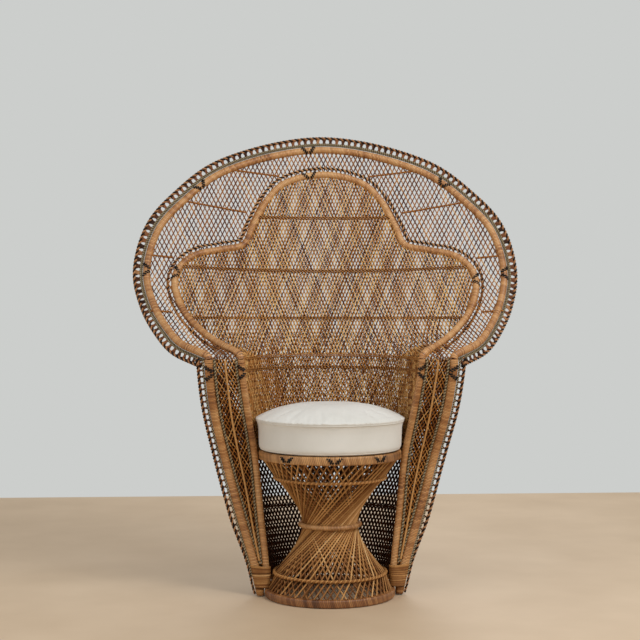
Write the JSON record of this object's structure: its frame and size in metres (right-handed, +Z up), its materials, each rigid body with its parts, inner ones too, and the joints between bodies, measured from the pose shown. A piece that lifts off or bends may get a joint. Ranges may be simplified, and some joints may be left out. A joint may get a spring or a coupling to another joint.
{
  "type": "peacock chair",
  "caption": "Free-standing wicker armchair with an hourglass cane pedestal, loose round cushion, woven shell arms and a wide fan back with a trefoil.",
  "frame": {"origin": "on the floor, at the middle of the chair's footprint box", "axes": "+Z up, -Y to the chair's front, +X to the right seen from the front"},
  "size_m": [1.2286, 0.6064, 1.4474],
  "materials": {
    "cane": "peel-wrapped rattan, satin",
    "weave": "woven cane, satin",
    "dark_weave": "dark stained cane",
    "core": "bare rattan pole",
    "cloth": "off-white woven cover"
  },
  "bodies": {
    "chair": {"base_hoop": "cane", "seat_hoop": "cane", "waist_ring": "cane", "inner_arm_pole_left": "cane", "inner_arm_pole_right": "cane", "outer_arm_pole_left": "cane", "outer_arm_pole_right": "cane", "foot_binding_left": "cane", "foot_binding_right": "cane", "arm_rib_left": "cane", "arm_rib_right": "cane", "back_sill": "cane", "outer_arch": "cane", "trefoil_arch": "cane", "outer_strand_1": "weave", "outer_strand_2": "weave", "outer_strand_3": "weave", "outer_strand_4": "weave", "outer_strand_5": "weave", "outer_strand_6": "weave", "outer_strand_7": "weave", "outer_strand_8": "weave", "outer_strand_9": "weave", "outer_strand_10": "weave", "outer_strand_11": "weave", "outer_strand_12": "weave", "outer_strand_13": "weave", "outer_strand_14": "weave", "outer_strand_15": "weave", "outer_strand_16": "weave", "lower_twine": "weave", "upper_twine": "weave", "seat_deck": "weave", "outer_wall": "weave", "trefoil_panel": "weave", "fan_band": "weave", "fan_openwork": "weave", "arm_openwork_left": "weave", "arm_openwork_right": "weave", "inner_strands": "dark_weave", "arm_panel_left": "dark_weave", "arm_panel_right": "dark_weave", "inner_wall": "dark_weave", "fan_edge": "dark_weave", "arm_edge_left": "dark_weave", "arm_edge_right": "dark_weave", "back_row_1": "dark_weave", "back_row_2": "dark_weave", "back_row_3": "dark_weave", "back_row_4": "dark_weave", "pedestal_leg_1": "core", "pedestal_leg_2": "core", "pedestal_leg_3": "core", "pedestal_leg_4": "core", "pedestal_leg_5": "core", "pedestal_leg_6": "core", "seat_bar_front": "core", "seat_bar_back": "core"},
    "cushion": {"cushion": "cloth"}
  },
  "joints": [
    {"name": "cushion_lift", "type": "slide", "parent": "chair", "child": "cushion", "axis": [0, 0, 1], "range_m": [0, 0.35]}
  ]
}
